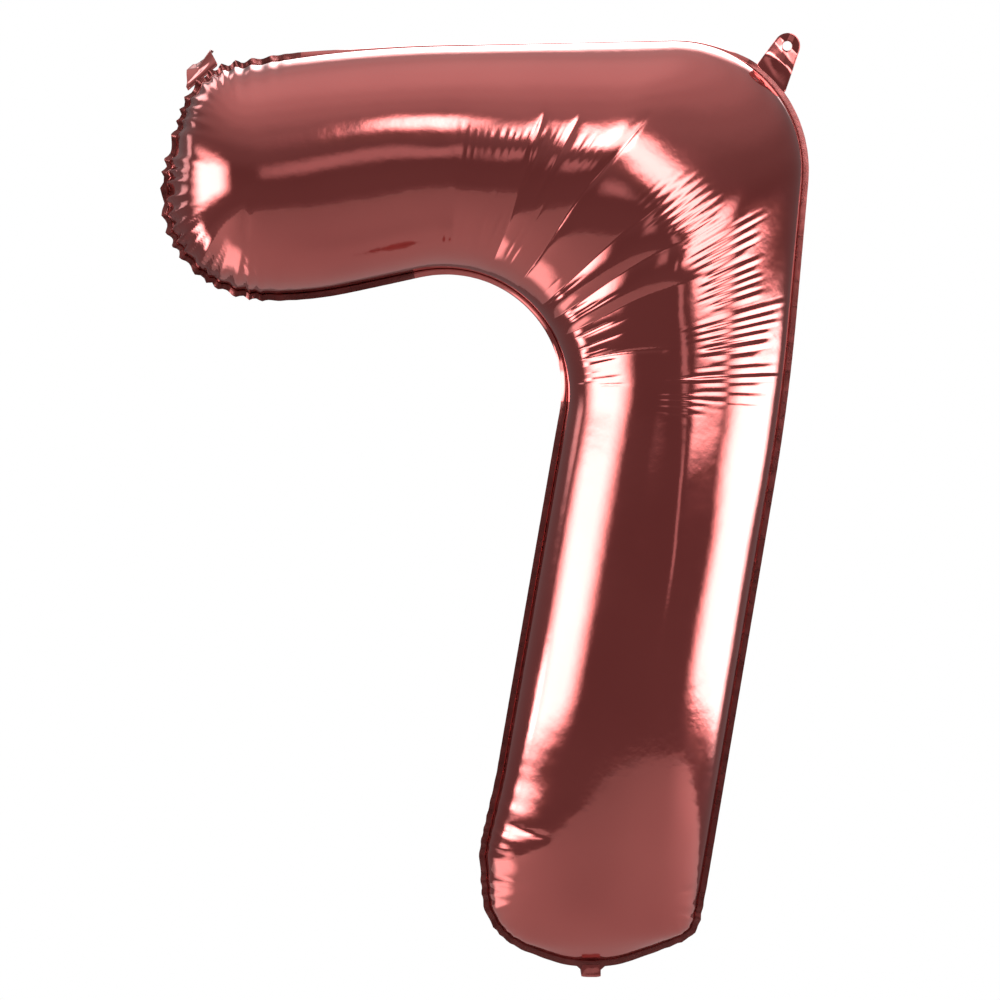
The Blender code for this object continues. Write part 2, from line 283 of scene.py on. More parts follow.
# Creases that fan out from the inner seam of the bend, with bulging facets between them: share at
# the inner end, share at FAN_SPAN of the width, across where it dies out, bulge of the facet after
# it. The first and the last facet reach BESIDE_FAN beyond their crease
FAN_CREASES = (
    (0.232, 0.233, 0.05, 0.0016),
    (0.299, 0.292, 0.20, 0.0024),
    (0.351, 0.348, -0.10, 0.0024),
    (0.398, 0.405, -0.15, 0.0028),
    (0.426, 0.438, -0.12, 0.0026),
    (0.456, 0.470, 0.16, 0.0012),
)
BESIDE_FAN = 0.055
FAN_SPAN = 0.6

# Single sharp creases: share and across at one end and at the other, depth, width
LINE_CREASES = (
    (0.503, -0.80, 0.516, -0.15, 0.0011, 0.0030),
    (0.540, -0.75, 0.543, -0.50, 0.0004, 0.0025),
    (0.894, -0.97, 0.901, -0.50, 0.0012, 0.0035),
    (0.936, -0.97, 0.941, -0.62, 0.0011, 0.0035),
    (0.936, 0.97, 0.939, 0.80, 0.0009, 0.0030),
    (0.104, 0.97, 0.106, 0.84, 0.0008, 0.0030),
    (0.068, -0.18, 0.059, -0.58, 0.0012, 0.0045),
    (0.286, 0.30, 0.292, -0.30, 0.0010, 0.0026),
    (0.310, 0.26, 0.312, -0.35, 0.0009, 0.0026),
    (0.352, 0.30, 0.350, -0.20, 0.0008, 0.0026),
)

# Fine creases near the inner seam of the bend, each drawn at random from these ranges
FINE_CREASES = 34
FINE_SHARE = (0.222, 0.535)
FINE_START = (-0.95, -0.80)
FINE_LENGTH = (0.12, 0.42)
FINE_DEPTH = (0.00015, 0.00045)
FINE_DRIFT = 0.002
FINE_WIDTH = 0.0018

# The low ridge down the leg, the gathers along the edge and the film's broad waves
STREAK_HEIGHT, STREAK_WIDTH = 0.0010, 0.011
PUCKER_REACH = 0.016
RIB_HEIGHT, RIB_PLACE, RIB_REACH = 0.0008, 0.014, 0.012
WAVES = 7
WAVE_PITCH = (0.06, 0.16)
WAVE_SLOPE = 0.0012

# How far the welded edge turns back, in degrees: everywhere, round the inside of the bend and along
# the top. Where it turns back less than the last angle below, the margin takes the weld's dark colour:
# painted shade, which shows as a dark line
CURL_EVERYWHERE, CURL_INSIDE, CURL_TOP = 4, 42, 56
SHADED_MARGIN_BELOW = 22

# How much more the cut edge is drawn in, and swings, than the seam. The weld's half thickness is a
# share of FOIL_LEVEL. FAR is beyond every place, for a window that is open to one side
EDGE_GATHER, EDGE_SWING = 0.25, 0.9
WELD_HALF = 0.45
FAR = 9.0


def window(values, low, high, soft):
    """1 between low and high, 0 outside, with soft shoulders."""
    rise = 1 / (1 + np.exp(-(values - low) / soft))
    fall = 1 / (1 + np.exp((values - high) / soft))
    return rise * fall


def wander(values, pitch, draw):
    """A smooth random wave of that pitch, about one high."""
    total = np.zeros_like(values)
    for _ in range(5):
        phase = draw.uniform(0, 2 * pi)
        rate = draw.uniform(0.6, 1.7)
        total += np.sin(2 * pi * values * rate / pitch + phase)
    return total / 3


def rim_strength(x, z):
    """How strongly the edge is puckered: most at the arm's end, some at the foot of the leg."""
    arm_end = window(x, -FAR, -0.215, 0.010)
    foot = 0.30 * window(z, -FAR, -0.70, 0.02) * window(x, -FAR, 0.03, 0.01)
    corner = 0.30 * window(z, -0.845, -0.79, 0.008) * window(x, 0.16, FAR, 0.01)
    return 0.012 + arm_end + foot + corner


class Rim:
    """The seam's line, and how it waves in and out of the plane where the film is gathered."""

    PITCH = 0.0150
    PITCH_WANDER = 2.0
    SWING = 0.0013
    UNEVEN = 0.6
    DRAW_IN = 0.0032
    LAG = 0.9

    def __init__(self):
        self.loop = seam_loop()
        self.normals = outward(self.loop)
        draw = np.random.default_rng(RIM_SEED)
        place = np.arange(len(self.loop)) * SEAM_STEP
        self.turn = 2 * pi * place / self.PITCH + self.PITCH_WANDER * wander(place, 0.07, draw)
        self.strength = rim_strength(self.loop[:, 0], self.loop[:, 1])
        uneven = 1 + self.UNEVEN * wander(place, 0.035, draw)
        self.swing = self.SWING * self.strength * uneven * np.sin(self.turn)
        gather = (0.5 - 0.5 * np.cos(self.turn + self.LAG)) ** 0.7
        self.draw_in = self.DRAW_IN * self.strength * gather
        self.tree = KDTree(len(self.loop))
        for i, (x, z) in enumerate(self.loop):
            self.tree.insert((x, 0.0, z), i)
        self.tree.balance()

    def at(self, values, places):
        """Values of the loop at fractional places on it."""
        index = np.arange(len(self.loop) + 1)
        return np.interp(np.mod(places, len(self.loop)), index, np.r_[values, values[:1]])

    def close_to(self, points):
        """For each point, the nearest place on the seam and the distance to it in the seam's plane."""
        found = [self.tree.find((x, 0.0, z)) for x, _, z in points]
        return np.array([hit[1] for hit in found]), np.array([hit[2] for hit in found])


class Film:
    """One film panel as a grid of points: rows along the tube, columns across it."""

    def __init__(self, side, rim):
        self.side = side
        self.rim = rim
        self.draw = np.random.default_rng(FILM_SEED + side)
        self.out_place, self.in_place = tube_rows(rim.loop)
        outer, inner = on_loop(rim.loop, self.out_place), on_loop(rim.loop, self.in_place)
        ring = smoothed_loop(np.vstack([outer, inner[-2:0:-1]]), RING_BLUR)
        self.rows = len(outer)
        self.outer = ring[: self.rows]
        self.inner = np.vstack([self.outer[:1], ring[: self.rows - 1 : -1], self.outer[-1:]])
        self.depth = half_depths(self.outer, self.inner)
        run = run_along((self.outer + self.inner) / 2)
        self.length = run[-1]
        self.share = run[:, None] / self.length * np.ones((1, COLUMNS + 1))
        self.half_width = np.linalg.norm(self.outer - self.inner, axis=1)[:, None] / 2
        self.make_base()

    def make_base(self):
        """The smooth inflated tube, before any crease."""
        angle = pi * np.arange(COLUMNS + 1) / COLUMNS
        self.across = np.cos(angle)[None, :] * np.ones((self.rows, 1))
        middle = ((self.outer + self.inner) / 2)[:, None, :]
        half = ((self.outer - self.inner) / 2)[:, None, :]
        flat = middle + half * self.across[..., None]
        skew = CROWN_SKEW * window(self.share, SKEW_FROM, SKEW_TO, 0.025)
        lean = self.across - skew * (1 - self.across**2)
        ridge = window(self.share, RIDGE_FROM, FAR, 0.025) * window(self.share, -FAR, RIDGE_TO, 0.045)
        power = 2.0 - CROWN_RIDGE * ridge
        rise = np.sqrt(np.clip(1 - np.hypot(lean, 0.03) ** power, 0.0, 1.0))
        away = FOIL_LEVEL + self.depth[:, None] * rise
        self.points = np.stack([flat[..., 0], self.side * away, flat[..., 1]], axis=-1)
        self.normals = self.grid_normals()

    def grid_normals(self):
        """The grid's normals, pointing out of the tube."""
        down = np.gradient(self.points, axis=0)
        over = np.gradient(self.points, axis=1)
        normal = np.cross(down, over)
        normal /= np.maximum(np.linalg.norm(normal, axis=-1, keepdims=True), 1e-12)
        return normal * np.sign((normal[..., 1] * self.side).sum())

    def fold_by_fold(self, line, spread):
        """A random amount for each fold, given the number of the fold that each row lies in."""
        return spread * self.draw.standard_normal(line.max() + 1)[line]

    def crimps(self):
        """Height of the short folds across the tube along its crown."""
        height = np.zeros_like(self.share)
        run = self.share[:, :1] * self.length
        for start, end, across_start, across_end, fold, depth in CRIMP_BANDS:
            phase = pi * run / CRIMP_PITCH + CRIMP_WAVER * wander(run, CRIMP_WAVER_PITCH, self.draw)
            line = np.floor(phase / pi)
            line = (line - line.min()).astype(int)
            longer = np.clip(1 + self.fold_by_fold(line, FOLD_LENGTH_SPREAD), 0.5, 1.8)
            deeper = np.clip(1 + self.fold_by_fold(line, FOLD_DEPTH_SPREAD), 0.2, 2)
            shifted = self.fold_by_fold(line, FOLD_SHIFT_SPREAD)
            middle = np.interp(self.share, (start, end), (across_start, across_end))
            off = (self.across - middle) * self.half_width - shifted
            reach = fold / 2 * longer
            band = window(self.share, start, end, 0.0025)
            shape = np.abs(np.sin(phase)) ** 0.8 - 0.62
            height += depth * deeper * band * np.exp(-((off / reach) ** 6)) * shape
        return height

    def facets(self):
        """The inner side of the bend: bulging facets parted by sharp creases that fan out."""
        inner = (self.across + 1) / 2 / FAN_SPAN
        bend = 0.0012 * np.sin(9 * inner)
        edges = [near + (far - near) * inner + bend for near, far, _, _ in FAN_CREASES]
        edges = [edges[0] - BESIDE_FAN] + edges + [edges[-1] + BESIDE_FAN]
        bulges = [FAN_CREASES[0][3]] + [crease[3] for crease in FAN_CREASES]
        deaths = [crease[2] for crease in FAN_CREASES]
        height = np.zeros_like(self.share)
        for k, (low, high) in enumerate(zip(edges, edges[1:])):
            part = (self.share - low) / (high - low)
            inside = (part >= 0) & (part < 1)
            part = np.clip(part, 0, 1)
            ends = deaths[max(k - 1, 0) : k + 1]
            fade = window(self.across, -0.92, np.mean(ends), 0.06)
            lean = self.draw.uniform(0.75, 1.3)
            bulge = np.sin(pi * part**lean) ** 0.75
            if k == 0:
                bulge = bulge * part
            if k == len(edges) - 2:
                bulge = bulge * (1 - part)
            height += np.where(inside, bulges[k] * bulge * fade, 0.0)
        return height

    def lines(self):
        """Single creases, and the fine ones near the inner seam of the bend."""
        creases = list(LINE_CREASES)
        for _ in range(FINE_CREASES):
            share = self.draw.uniform(*FINE_SHARE)
            start = self.draw.uniform(*FINE_START)
            end = start + self.draw.uniform(*FINE_LENGTH)
            depth = self.draw.uniform(*FINE_DEPTH)
            creases.append((share, start, share + FINE_DRIFT, end, depth, FINE_WIDTH))
        height = np.zeros_like(self.share)
        for share, across, share_end, across_end, depth, width in creases:
            part = (self.across - across) / (across_end - across)
            off = (self.share - share - (share_end - share) * part) * self.length
            ends = window(part, 0.0, 1.0, 0.05)
            height -= depth * ends * np.exp(-np.abs(off) / width)
        return height

    def streak(self):
        """A low ridge that runs down the leg from the last crimps."""
        middle = np.interp(self.share, (0.55, 0.76), (0.10, 0.24))
        off = (self.across - middle) * self.half_width / STREAK_WIDTH
        return STREAK_HEIGHT * np.exp(-(off**2)) * window(self.share, 0.57, 0.73, 0.02)

    def rim_puckers(self):
        """The gathers that run in from the edge: a move of each point, and the height of their ribs."""
        flat = self.points.reshape(-1, 3)
        place, distance = self.rim.close_to(flat)
        strength = self.rim.strength[place]
        fade = np.exp(-((distance / PUCKER_REACH) ** 1.3))
        swing = self.rim.swing[place] * fade
        draw_in = self.rim.draw_in[place] * fade
        inward = -self.rim.normals[place] * draw_in[:, None]
        ribs = np.sin(1.9 * self.rim.turn[place] + 0.7 * self.side)
        cluster = np.clip(wander(place * SEAM_STEP, 0.11, self.draw), 0, 1)
        depth = RIB_HEIGHT * strength * cluster * np.exp(-(((distance - RIB_PLACE) / RIB_REACH) ** 2))
        move = np.stack([inward[:, 0], swing, inward[:, 1]], axis=-1).reshape(self.points.shape)
        return move, (depth * ribs).reshape(self.share.shape)

    def unevenness(self):
        """Broad, shallow waves of the film."""
        height = np.zeros_like(self.share)
        for _ in range(WAVES):
            way = self.draw.standard_normal(3)
            way /= np.linalg.norm(way)
            pitch = self.draw.uniform(*WAVE_PITCH)
            phase = self.draw.uniform(0, 2 * pi)
            height += np.sin(2 * pi * (self.points @ way) / pitch + phase) * pitch * WAVE_SLOPE
        return height * (1 - self.across**8)

    def shape(self):
        """The finished grid of points."""
        move, ribs = self.rim_puckers()
        height = ribs + self.crimps() + self.facets() + self.lines() + self.streak()
        height = height + self.unevenness()
        clear = 1 - np.abs(self.across) ** 12
        return self.points + self.normals * (height * clear)[..., None] + move


def seam_ring(film):
    """Seam places of the ring of rows' ends: down the outer side and back up the inner side."""
    return np.r_[film.out_place, film.in_place[-2:0:-1]]


def reach_of(points):
    """Width of the welded edge: wider where it runs down into the inflation neck."""
    aside = np.abs(points[:, 0] - OUTLINE[BOTTOM][0]) / (NECK_WIDTH / 2)
    swell = np.sqrt(np.clip(1 - aside**2, 0.0, 1.0))
    return SEAM_WIDTH + np.where(points[:, 1] < LEG_BOTTOM_BELOW, NECK_DROP * swell, 0.0)


def curl_of(points):
    """Angle by which the edge turns back: most along the top and round the inside of the bend."""
    notch = np.array(OUTLINE[NOTCH][:2])
    near = np.linalg.norm(points - notch, axis=1)
    inside_bend = np.exp(-((near / 0.17) ** 4))
    inside_bend *= window(points[:, 0] - points[:, 1], -FAR, 0.42, 0.02)
    top = window(points[:, 1], -0.012, FAR, 0.003) * window(points[:, 0], -0.17, 0.24, 0.02)
    return radians(CURL_EVERYWHERE) + radians(CURL_INSIDE) * inside_bend + radians(CURL_TOP) * top


def flange_points(rim, places, flat, level):
    """Rows of points from the seam out to the cut edge, following the edge's waves."""
    swing = rim.at(rim.swing, places)
    draw_in = rim.at(rim.draw_in, places)
    normal = outward(flat)
    reach = reach_of(flat)
    curl = curl_of(flat)
    rows = []
    for k in range(1, FLANGE_COLUMNS + 1):
        part = k / FLANGE_COLUMNS
        away = reach * part
        turn = curl * part**0.5
        out = normal * (away * np.cos(turn) - draw_in * (1 + EDGE_GATHER * part))[:, None]
        y = level + swing * (1 + EDGE_SWING * part) + away * np.sin(turn)
        rows.append(np.stack([flat[:, 0] + out[:, 0], y, flat[:, 1] + out[:, 1]], axis=-1))
    return rows


def mesh_object(name, points, faces, *looks):
    """A new smooth object of those points and faces."""
    mesh = bpy.data.meshes.new(name)
    mesh.from_pydata([tuple(p) for p in points], [], faces)
    mesh.validate()
    mesh.shade_smooth()
    for finish in looks:
        mesh.materials.append(finish)
    made = bpy.data.objects.new(name, mesh)
    bpy.context.scene.collection.objects.link(made)
    return made


def film_panel(name, film, look, weld):
    """The film grid and its welded margin as one mesh. Where the margin doesn't curl back it takes the dark
    weld material: painted shade.
    """
    grid = film.shape()
    rows, columns = grid.shape[:2]
    index = np.arange(rows * columns).reshape(rows, columns)
    index[0, :] = index[0, 0]
    index[-1, :] = index[-1, 0]
    points = list(grid.reshape(-1, 3))
    faces = []
    for k in range(rows - 1):
        for j in range(columns - 1):
            corners = (index[k, j], index[k, j + 1], index[k + 1, j + 1], index[k + 1, j])
            faces.append(list(dict.fromkeys(int(c) for c in corners)))
    ring = [int(i) for i in np.r_[index[:, 0], index[-2:0:-1, -1]]]
    flat = np.vstack([film.outer, film.inner[-2:0:-1]])
    # Painted shade: the margin that doesn't curl back gets the weld's dark colour and shows as a dark line
    painted_shade_margin = curl_of(flat) < radians(SHADED_MARGIN_BELOW)
    inside = len(faces)
    before = ring
    for row in flange_points(film.rim, seam_ring(film), flat, film.side * FOIL_LEVEL):
        after = [len(points) + i for i in range(len(row))]
        points += list(row)
        for i in range(len(ring)):
            n = (i + 1) % len(ring)
            faces.append([before[i], before[n], after[n], after[i]][::-1])
        before = after
    if film.side > 0:
        faces = [face[::-1] for face in faces]
    panel = mesh_object(name, points, faces, look, weld)
    # Painted shade on the flat margin; the curled margin keeps the mirror foil
    for face in panel.data.polygons[inside:]:
        face.material_index = int(painted_shade_margin[(face.index - inside) % len(ring)])
    drop_loose(panel.data)
    return panel


def drop_loose(mesh):
    """Removes the points that no face uses: at the ends of a film, and in the fill hole."""
    work = bmesh.new()
    work.from_mesh(mesh)
    spare = [v for v in work.verts if not v.link_faces]
    bmesh.ops.delete(work, geom=spare, context="VERTS")
    work.to_mesh(mesh)
    work.free()


def weld_band(film, look):
    """The weld between the two margins, open at the neck."""
    flat = np.vstack([film.outer, film.inner[-2:0:-1]])
    rim = film.rim
    places = seam_ring(film)
    swing = rim.at(rim.swing, places)
    draw_in = rim.at(rim.draw_in, places)
    normal = outward(flat)
    points, faces = [], []
    half = WELD_HALF * FOIL_LEVEL
    curl = curl_of(flat)
    for part, level in ((0, -half), (1, -half), (1, half), (0, half)):
        reach = part * SEAM_WIDTH
        away = normal * (reach * np.cos(curl) - draw_in * (1 + EDGE_GATHER * part))[:, None]
        lift = swing * (1 + EDGE_SWING * part) + reach * np.sin(curl)
        for (x, z), (dx, dz), y in zip(flat, away, lift):
            points.append((x + dx, level + y, z + dz))
    count = len(flat)
    aside = np.abs(flat[:, 0] - OUTLINE[BOTTOM][0])
    open_neck = (aside < NECK_WIDTH / 2) & (flat[:, 1] < LEG_BOTTOM_BELOW)
    for i in range(count):
        n = (i + 1) % count
        if open_neck[i] or open_neck[n]:
            continue
        for side in range(4):
            other = (side + 1) % 4
            faces.append([side * count + i, side * count + n, other * count + n, other * count + i])
    return mesh_object("edge_weld", points, faces, look)


# Tabs and tail --------------------------------------------------------------------------------

# Each tab: its root's middle, the way along the root, outward in the seam's plane, the way it stands
LEFT_TAB = (
    (-0.2731, 0.0, -0.0220),
    (0.7615, 0.0, 0.6481),
    (-0.6481, 0.0, 0.7615),
    (-0.2739, 0.9063, 0.3218),
)
RIGHT_TAB = (
    (0.2599, 0.0, -0.0246),
    (0.6830, 0.0, -0.7305),
    (0.7305, 0.0, 0.6830),
    (0.7305, 0.0, 0.6830),
)
TAB_FOOT = 0.0045
TAB_FILM = 0.0004
TAB_AROUND, TAB_RINGS = 120, 22

# The edges of a tab are pinched thin. Its creases fade out towards the foot
TAB_PINCH = 0.55
TAB_CREASES = 9
STIFF_FOOT = 0.014
CREASE_ROUNDING = 0.0004


def tab_edge(angle, side):
    """Distance from the eyelet's centre to the tab's cut edge in that direction."""
    centre = np.array((TAB_SHIFT * side, TAB_REACH))
    foot = np.array([(-TAB_ROOT / 2, -TAB_FOOT), (TAB_ROOT / 2, -TAB_FOOT)]) - centre
    lobe = np.linspace(0, 2 * pi, 60, endpoint=False)
    corners = np.vstack([foot, TAB_LOBE * np.c_[np.cos(lobe), np.sin(lobe)]])
    reach = 0.0
    way = np.array((cos(angle), sin(angle)))
    for a in foot:
        for b in corners:
            edge = b - a
            cross = way[0] * edge[1] - way[1] * edge[0]
            if abs(cross) < 1e-9:
                continue
            along = (a[0] * edge[1] - a[1] * edge[0]) / cross
            part = (a[0] * way[1] - a[1] * way[0]) / cross
            if 0 <= part <= 1:
                reach = max(reach, along)
    return max(reach, TAB_LOBE)


def crumple(places, draw, count, slope):
    """Height of thin film that is creased along random straight lines."""
    height = np.zeros(len(places))
    for _ in range(count):
        turn = draw.uniform(0, 2 * pi)
        way = np.array((cos(turn), sin(turn)))
        origin = np.array((draw.uniform(-0.004, 0.022), draw.uniform(0.004, 0.036)))
        off = (places - origin) @ way
        height += draw.uniform(-slope, slope) * np.sqrt(off**2 + CREASE_ROUNDING**2)
    return height


def tab(name, frame_of, side, seed, slope, look):
    """A hanging tab: two welded films with an eyelet, creased, its foot on the balloon's edge."""
    root, along, out, up = (np.array(v) for v in frame_of)
    draw = np.random.default_rng(seed)
    angles = np.linspace(0, 2 * pi, TAB_AROUND, endpoint=False)
    far = np.array([tab_edge(a, side) for a in angles])
    share = np.linspace(0, 1, TAB_RINGS)[:, None]
    radius = EYELET_RADIUS + (far - EYELET_RADIUS) * share
    u = TAB_SHIFT * side + radius * np.cos(angles)
    v = TAB_REACH + radius * np.sin(angles)
    places = np.c_[u.ravel(), v.ravel()]
    free = np.clip(places[:, 1] / STIFF_FOOT, 0, 1) ** 1.5
    height = crumple(places * (side, 1.0), draw, TAB_CREASES, slope)
    height = (height - height.mean()) * free
    above = (places[:, 1] + np.hypot(places[:, 1], 0.002)) / 2
    below = places[:, 1] - above
    middle = root + places[:, :1] * along + below[:, None] * out + above[:, None] * up
    normal = np.cross(along, up)
    pinched = 1 - TAB_PINCH * np.maximum(share, 1 - share) ** 14 * np.ones((1, TAB_AROUND))
    points = []
    for sign in (-1, 1):
        lift = height + sign * TAB_FILM * pinched.ravel()
        points += list(middle + lift[:, None] * normal)
    return mesh_object(name, points, ring_faces(TAB_RINGS, TAB_AROUND), look)


def ring_faces(rings, around):
    """Faces of a flat piece with a hole: two layers of rings, joined at the hole and at the edge."""
    size = rings * around
    faces = []
    for j in range(around):
        n = (j + 1) % around
        for k in range(rings - 1):
            cell = [k * around + j, k * around + n, (k + 1) * around + n, (k + 1) * around + j]
            faces.append(cell)
            faces.append([size + i for i in reversed(cell)])
        last = (rings - 1) * around
        faces.append([j, n, size + n, size + j])
        faces.append([size + last + j, size + last + n, last + n, last + j])
    return faces


# The tail's centre line: it starts inside the neck, goes straight down and turns back at the fold
TAIL_TURN = 0.0012
TAIL_TOP = -0.8480
TAIL_STRAIGHT = TAIL_TOP - (TAIL_HINGE[2] + TAIL_TURN)
TAIL_RUN = TAIL_STRAIGHT + TAIL_TURN * (pi / 2 - 1) + TAIL_LENGTH
TAIL_ROWS, TAIL_COLUMNS, TAIL_WELD_ROWS = 150, 37, 120
TAIL_CORNER = 0.004
TAIL_WELD_WIDTH = 0.0025
TAIL_WELD_INSET = 0.0002
TAIL_WELD_HALF = 0.00025

# How far each layer bulges and stands off the centre line, and the ripples across it
PUFF, FILM_APART = 0.0009, 0.00032
RIPPLE, RIPPLE_PITCH = 0.00016, 0.0021


def tail_path(run):
    """Centre line of the tail from inside the neck: down, round the fold, and straight back."""
    angle = np.clip((run - TAIL_STRAIGHT) / TAIL_TURN, 0, pi / 2)
    down = np.minimum(run, TAIL_STRAIGHT) + TAIL_TURN * np.sin(angle)
    back = TAIL_TURN * (1 - np.cos(angle)) + np.maximum(run - TAIL_STRAIGHT - TAIL_TURN * pi / 2, 0)
    return back, TAIL_TOP - down, angle


def tail_corner(run):
    """How far into the rounded end corners a place is, from 0 to 1, and how much narrower that makes it."""
    corner = np.clip((run - TAIL_RUN + TAIL_CORNER) / TAIL_CORNER, 0, 1)
    return corner, TAIL_CORNER * (1 - np.sqrt(1 - corner**2))


def tail_layer(name, side, look):
    """One foil layer of the tail. The front one has the fill hole."""
    run = np.linspace(0, TAIL_RUN, TAIL_ROWS)[:, None] * np.ones((1, TAIL_COLUMNS))
    u = np.linspace(-1, 1, TAIL_COLUMNS)[None, :] * np.ones((TAIL_ROWS, 1))
    corner, taken = tail_corner(run)
    x = TAIL_HINGE[0] + u * (TAIL_WIDTH / 2 - taken)
    draw = np.random.default_rng(TAIL_SEED + side)
    puff = PUFF * (1 - u**4) * (1 - corner**2) + FILM_APART
    waver = 2.0 * wander(u[0] * 0.01, 0.02, draw)
    ripple = RIPPLE * np.sin(run / RIPPLE_PITCH + waver) * (1 - u**2)
    back, down, angle = tail_path(run)
    lift = side * (puff + ripple)
    points = np.stack([x, back + lift * np.cos(angle), down + lift * np.sin(angle)], axis=-1)
    hole = np.hypot(run - TAIL_RUN + TAIL_LENGTH - FILL_HOLE_DOWN, x - TAIL_HINGE[0])
    index = np.arange(TAIL_ROWS * TAIL_COLUMNS).reshape(run.shape)
    faces = []
    for k in range(TAIL_ROWS - 1):
        for j in range(TAIL_COLUMNS - 1):
            if side < 0 and hole[k : k + 2, j : j + 2].mean() < FILL_HOLE_RADIUS:
                continue
            cell = (index[k, j], index[k, j + 1], index[k + 1, j + 1], index[k + 1, j])
            faces.append([int(i) for i in cell])
    layer = mesh_object(name, points.reshape(-1, 3), faces, look)
    drop_loose(layer.data)
    return layer


def tail_weld(name, look):
    """The pressed weld down both sides of the tail and across its end, between the two layers."""
    points, faces = [], []
    for place in np.linspace(0, TAIL_RUN, TAIL_WELD_ROWS):
        back, down, angle = tail_path(np.array(place))
        edge = TAIL_WIDTH / 2 - TAIL_WELD_INSET - tail_corner(place)[1]
        across_end = place >= TAIL_RUN - TAIL_WELD_WIDTH
        inside = 0.0 if across_end else min(TAIL_WIDTH / 2 - TAIL_WELD_WIDTH, edge)
        for u in (-edge, -inside, inside, edge):
            for lift in (-TAIL_WELD_HALF, TAIL_WELD_HALF):
                points.append((TAIL_HINGE[0] + u, back + lift * cos(angle), down + lift * sin(angle)))
    for first in range(0, 8 * (TAIL_WELD_ROWS - 1), 8):
        for loop in ((0, 1, 3, 2), (4, 5, 7, 6)):
            for a, b in zip(loop, loop[1:] + loop[:1]):
                faces.append([first + a, first + b, first + 8 + b, first + 8 + a])
    for first in (0, 8 * (TAIL_WELD_ROWS - 1)):
        faces.append([first, first + 1, first + 3, first + 2])
        faces.append([first + 4, first + 5, first + 7, first + 6])
    return mesh_object(name, points, faces, look)


# Materials ------------------------------------------------------------------------------------


def new_material(name):
    """A new material, with its nodes, its links and its Principled BSDF."""
    made = bpy.data.materials.new(name)
    made.use_nodes = True
    nodes = made.node_tree.nodes
    return made, nodes, made.node_tree.links, nodes["Principled BSDF"]


def noise(nodes, links, scale, detail=2.0):
    """A noise texture in the object's own metres."""
    place = nodes.new("ShaderNodeTexCoord")
    texture = nodes.new("ShaderNodeTexNoise")
    texture.inputs["Scale"].default_value = scale
    texture.inputs["Detail"].default_value = detail
    links.new(place.outputs["Object"], texture.inputs["Vector"])
    return texture.outputs["Fac"]


def between(nodes, links, factor, low, high):
    """Maps a 0..1 value to low..high."""
    scale = nodes.new("ShaderNodeMapRange")
    scale.inputs["From Min"].default_value = 0.3
    scale.inputs["From Max"].default_value = 0.7
    scale.inputs["To Min"].default_value = low
    scale.inputs["To Max"].default_value = high
    links.new(factor, scale.inputs["Value"])
    return scale.outputs["Result"]


def colours(nodes, links, factor, first, second):
    """A mix of two colours by a 0..1 value."""
    mix = nodes.new("ShaderNodeMix")
    mix.data_type = "RGBA"
    mix.inputs["A"].default_value = first
    mix.inputs["B"].default_value = second
    links.new(factor, mix.inputs["Factor"])
    return mix.outputs["Result"]


def mottled(nodes, links, scale, first, second):
    """A colour that drifts between two tones in soft clouds."""
    cloud = between(nodes, links, noise(nodes, links, scale), 0.0, 1.0)
    return colours(nodes, links, cloud, first, second)


def bumped(nodes, links, shader, heights):
    """Chains bumps: each is (height socket, strength, distance)."""
    normal = None
    for height, strength, distance in heights:
        bump = nodes.new("ShaderNodeBump")
        bump.inputs["Strength"].default_value = strength
        bump.inputs["Distance"].default_value = distance
        links.new(height, bump.inputs["Height"])
        if normal:
            links.new(normal, bump.inputs["Normal"])
        normal = bump.outputs["Normal"]
    links.new(normal, shader.inputs["Normal"])


def rose_foil():
    """Metallised film with a tinted lacquer: mirror-like, faintly rippled."""
    made, nodes, links, shader = new_material("rose_foil")
    shader.inputs["Metallic"].default_value = 1.0
    shader.inputs["Coat Weight"].default_value = 0.36
    shader.inputs["Coat Roughness"].default_value = 0.05
    shader.inputs["Coat IOR"].default_value = 1.8
    base = mottled(nodes, links, 9.0, (0.64, 0.150, 0.140, 1), (0.68, 0.168, 0.154, 1))
    links.new(base, shader.inputs["Base Color"])
    haze = noise(nodes, links, 30.0, 4.0)
    links.new(between(nodes, links, haze, 0.085, 0.125), shader.inputs["Roughness"])
    ripple = noise(nodes, links, 55.0, 2.0)
    grain = noise(nodes, links, 420.0, 2.0)
    bumped(nodes, links, shader, ((ripple, 0.10, 0.002), (grain, 0.05, 0.0004)))
    return made


def weld_with_painted_shade():
    """The pressed edge: the same film, duller, with the sealing bar's fine ribs, and a dark colour that is
    painted shade.
    """
    made, nodes, links, shader = new_material("welded_seam")
    shader.inputs["Metallic"].default_value = 1.0
    shader.inputs["Coat Weight"].default_value = 0.5
    shader.inputs["Coat Roughness"].default_value = 0.2
    # Dark tones: painted shade, the weld drawn darker than the foil
    base = mottled(nodes, links, 60.0, (0.20, 0.045, 0.04, 1), (0.30, 0.07, 0.065, 1))
    links.new(base, shader.inputs["Base Color"])
    links.new(between(nodes, links, noise(nodes, links, 200.0), 0.24, 0.38), shader.inputs["Roughness"])
    bumped(nodes, links, shader, ((noise(nodes, links, 700.0), 0.35, 0.0005),))
    return made


def clear_film():
    """Clear polyethylene of the valve, faintly milky."""
    made, nodes, links, shader = new_material("clear_valve_film")
    shader.inputs["IOR"].default_value = 1.5
    base = mottled(nodes, links, 80.0, (0.72, 0.70, 0.68, 1), (0.82, 0.80, 0.78, 1))
    links.new(base, shader.inputs["Base Color"])
    links.new(between(nodes, links, noise(nodes, links, 300.0), 0.22, 0.36), shader.inputs["Roughness"])
    bumped(nodes, links, shader, ((noise(nodes, links, 260.0), 0.3, 0.0004),))
    return made


